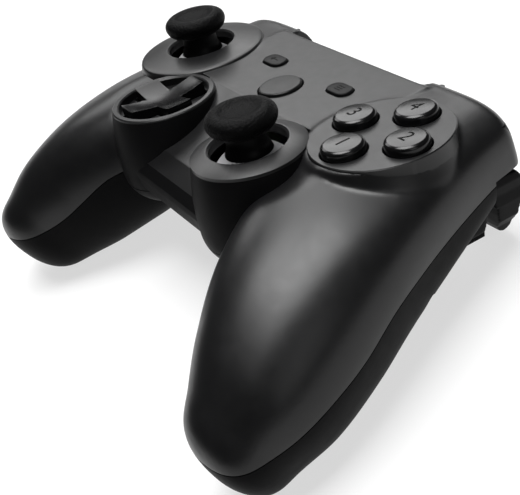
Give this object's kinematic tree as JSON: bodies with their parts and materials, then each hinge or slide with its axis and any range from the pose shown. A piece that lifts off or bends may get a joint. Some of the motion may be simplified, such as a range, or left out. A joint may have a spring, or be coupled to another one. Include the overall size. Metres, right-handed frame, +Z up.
{
  "type": "game controller",
  "caption": "Two-handed wireless game pad with tilting thumb sticks, a rocking direction cross, push buttons, shoulder bumpers and pull triggers in a two-shell body with grips.",
  "frame": {"origin": "middle of the footprint, on the table that the pad lies on", "axes": "+X to the user's right along the pad's width, +Y away from the user towards the bumpers and triggers, +Z up; the flat middle panel leans away from the user by the tilt that the grips and the battery box give it"},
  "size_m": [0.1566, 0.1026, 0.0584],
  "materials": {
    "front_shell": "satin black moulded plastic",
    "rear_shell": "satin black moulded plastic",
    "battery_door": "satin black moulded plastic",
    "cell": "printed steel jacket, plain",
    "bright_steel": "bright plated steel",
    "dark_steel": "blackened screw steel",
    "board": "green circuit board",
    "membrane": "moulded silicone",
    "switch": "small switch body",
    "sensor": "sensor housing",
    "stick_frame": "pressed metal frame",
    "inner_plastic": "pale slippery plastic",
    "stick_dome": "glossy black moulded plastic",
    "stick_cap": "fine grained soft cap",
    "direction_cross": "glossy black moulded plastic",
    "face_button": "glossy black moulded plastic",
    "centre_button": "satin black moulded plastic",
    "bumper": "satin black moulded plastic",
    "trigger": "satin black moulded plastic",
    "motor_can": "drawn metal can",
    "motor_weight": "sintered metal weight"
  },
  "bodies": {
    "pad": {"front_shell": "front_shell", "rear_shell": "rear_shell", "front_cell": "cell", "rear_cell": "cell", "battery_springs": "bright_steel", "battery_plates": "bright_steel", "main_board": "board", "shell_screws": "dark_steel", "board_screws": "dark_steel", "action_membrane": "membrane", "cross_membrane": "membrane", "centre_membrane": "membrane", "left_stick_base": "stick_frame", "right_stick_base": "stick_frame", "left_stick_sensors": "sensor", "right_stick_sensors": "sensor", "left_stick_switch": "switch", "right_stick_switch": "switch", "cross_post": "inner_plastic", "bumper_switches": "switch", "trigger_pins": "bright_steel", "trigger_springs": "bright_steel", "trigger_sensors": "sensor", "left_motor": "motor_can", "right_motor": "motor_can"},
    "battery_door": {"battery_door": "battery_door"},
    "left_stick_ring": {"left_stick_gimbal": "inner_plastic"},
    "left_stick_rock": {"left_stick_rocker": "inner_plastic"},
    "left_stick": {"left_stick_lever": "stick_dome", "left_stick_cap": "stick_cap"},
    "right_stick_ring": {"right_stick_gimbal": "inner_plastic"},
    "right_stick_rock": {"right_stick_rocker": "inner_plastic"},
    "right_stick": {"right_stick_lever": "stick_dome", "right_stick_cap": "stick_cap"},
    "cross_ball": {"cross_ball": "bright_steel"},
    "direction_cross": {"direction_cross": "direction_cross"},
    "face_button_near": {"face_button_near": "face_button"},
    "face_button_right": {"face_button_right": "face_button"},
    "face_button_left": {"face_button_left": "face_button"},
    "face_button_far": {"face_button_far": "face_button"},
    "home_button": {"home_button": "centre_button"},
    "back_button": {"back_button": "centre_button"},
    "menu_button": {"menu_button": "centre_button"},
    "left_bumper": {"left_bumper": "bumper"},
    "right_bumper": {"right_bumper": "bumper"},
    "left_trigger": {"left_trigger": "trigger"},
    "right_trigger": {"right_trigger": "trigger"},
    "left_motor_weight": {"left_motor_weight": "motor_weight"},
    "right_motor_weight": {"right_motor_weight": "motor_weight"}
  },
  "joints": [
    {"name": "battery_door_lift", "type": "slide", "parent": "pad", "child": "battery_door", "axis": [0, -0.2081, -0.9781], "range_m": [0, 0.03]},
    {"name": "left_stick_fore_aft", "type": "hinge", "parent": "pad", "child": "left_stick_ring", "pos_m": [-0.045, 0.02203, 0.03145], "axis": [1, 0, 0], "range_deg": [-13, 13], "stiffness_Nm_per_rad": 0.05},
    {"name": "left_stick_sideways", "type": "hinge", "parent": "left_stick_ring", "child": "left_stick_rock", "pos_m": [-0.045, 0.02203, 0.03145], "axis": [0, 0.9781, -0.2081], "range_deg": [-13, 13], "stiffness_Nm_per_rad": 0.05},
    {"name": "left_stick_press", "type": "slide", "parent": "left_stick_rock", "child": "left_stick", "axis": [0, -0.2081, -0.9781], "range_m": [0, 0.0005], "stiffness_N_per_m": 2000, "springref_m": -0.0003},
    {"name": "right_stick_fore_aft", "type": "hinge", "parent": "pad", "child": "right_stick_ring", "pos_m": [0.024, -0.00047, 0.03624], "axis": [1, 0, 0], "range_deg": [-13, 13], "stiffness_Nm_per_rad": 0.05},
    {"name": "right_stick_sideways", "type": "hinge", "parent": "right_stick_ring", "child": "right_stick_rock", "pos_m": [0.024, -0.00047, 0.03624], "axis": [0, 0.9781, -0.2081], "range_deg": [-13, 13], "stiffness_Nm_per_rad": 0.05},
    {"name": "right_stick_press", "type": "slide", "parent": "right_stick_rock", "child": "right_stick", "axis": [0, -0.2081, -0.9781], "range_m": [0, 0.0005], "stiffness_N_per_m": 2000, "springref_m": -0.0003},
    {"name": "cross_sideways", "type": "hinge", "parent": "pad", "child": "cross_ball", "pos_m": [-0.024, -0.00001, 0.03839], "axis": [0, 0.9781, -0.2081], "range_deg": [-4, 4], "stiffness_Nm_per_rad": 0.08},
    {"name": "cross_fore_aft", "type": "hinge", "parent": "cross_ball", "child": "direction_cross", "pos_m": [-0.024, -0.00001, 0.03839], "axis": [1, 0, 0], "range_deg": [-4, 4], "stiffness_Nm_per_rad": 0.08},
    {"name": "face_button_near_press", "type": "slide", "parent": "pad", "child": "face_button_near", "axis": [0, -0.2081, -0.9781], "range_m": [0, 0.0012], "stiffness_N_per_m": 500, "springref_m": -0.0006},
    {"name": "face_button_right_press", "type": "slide", "parent": "pad", "child": "face_button_right", "axis": [0, -0.2081, -0.9781], "range_m": [0, 0.0012], "stiffness_N_per_m": 500, "springref_m": -0.0006},
    {"name": "face_button_left_press", "type": "slide", "parent": "pad", "child": "face_button_left", "axis": [0, -0.2081, -0.9781], "range_m": [0, 0.0012], "stiffness_N_per_m": 500, "springref_m": -0.0006},
    {"name": "face_button_far_press", "type": "slide", "parent": "pad", "child": "face_button_far", "axis": [0, -0.2081, -0.9781], "range_m": [0, 0.0012], "stiffness_N_per_m": 500, "springref_m": -0.0006},
    {"name": "home_button_press", "type": "slide", "parent": "pad", "child": "home_button", "axis": [0, -0.2081, -0.9781], "range_m": [0, 0.0006], "stiffness_N_per_m": 800, "springref_m": -0.0005},
    {"name": "back_button_press", "type": "slide", "parent": "pad", "child": "back_button", "axis": [0, -0.2081, -0.9781], "range_m": [0, 0.0006], "stiffness_N_per_m": 800, "springref_m": -0.0005},
    {"name": "menu_button_press", "type": "slide", "parent": "pad", "child": "menu_button", "axis": [0, -0.2081, -0.9781], "range_m": [0, 0.0006], "stiffness_N_per_m": 800, "springref_m": -0.0005},
    {"name": "left_bumper_press", "type": "hinge", "parent": "pad", "child": "left_bumper", "pos_m": [-0.0336, 0.04699, 0.02767], "axis": [0, 0.2081, 0.9781], "range_deg": [0, 2], "stiffness_Nm_per_rad": 0.5, "springref_deg": -1.72},
    {"name": "right_bumper_press", "type": "hinge", "parent": "pad", "child": "right_bumper", "pos_m": [0.0336, 0.04699, 0.02767], "axis": [0, -0.2081, -0.9781], "range_deg": [0, 2], "stiffness_Nm_per_rad": 0.5, "springref_deg": -1.72},
    {"name": "left_trigger_pull", "type": "hinge", "parent": "pad", "child": "left_trigger", "pos_m": [-0.042, 0.03654, 0.02274], "axis": [-1, 0, 0], "range_deg": [0, 12], "stiffness_Nm_per_rad": 0.12, "springref_deg": -5.73},
    {"name": "right_trigger_pull", "type": "hinge", "parent": "pad", "child": "right_trigger", "pos_m": [0.042, 0.03654, 0.02274], "axis": [-1, 0, 0], "range_deg": [0, 12], "stiffness_Nm_per_rad": 0.12, "springref_deg": -5.73},
    {"name": "left_motor_spin", "type": "hinge", "parent": "pad", "child": "left_motor_weight", "pos_m": [-0.055, -0.0228, 0.02258], "axis": [0, 0.9781, -0.2081], "continuous": true},
    {"name": "right_motor_spin", "type": "hinge", "parent": "pad", "child": "right_motor_weight", "pos_m": [0.055, -0.0228, 0.02258], "axis": [0, 0.9781, -0.2081], "continuous": true}
  ]
}
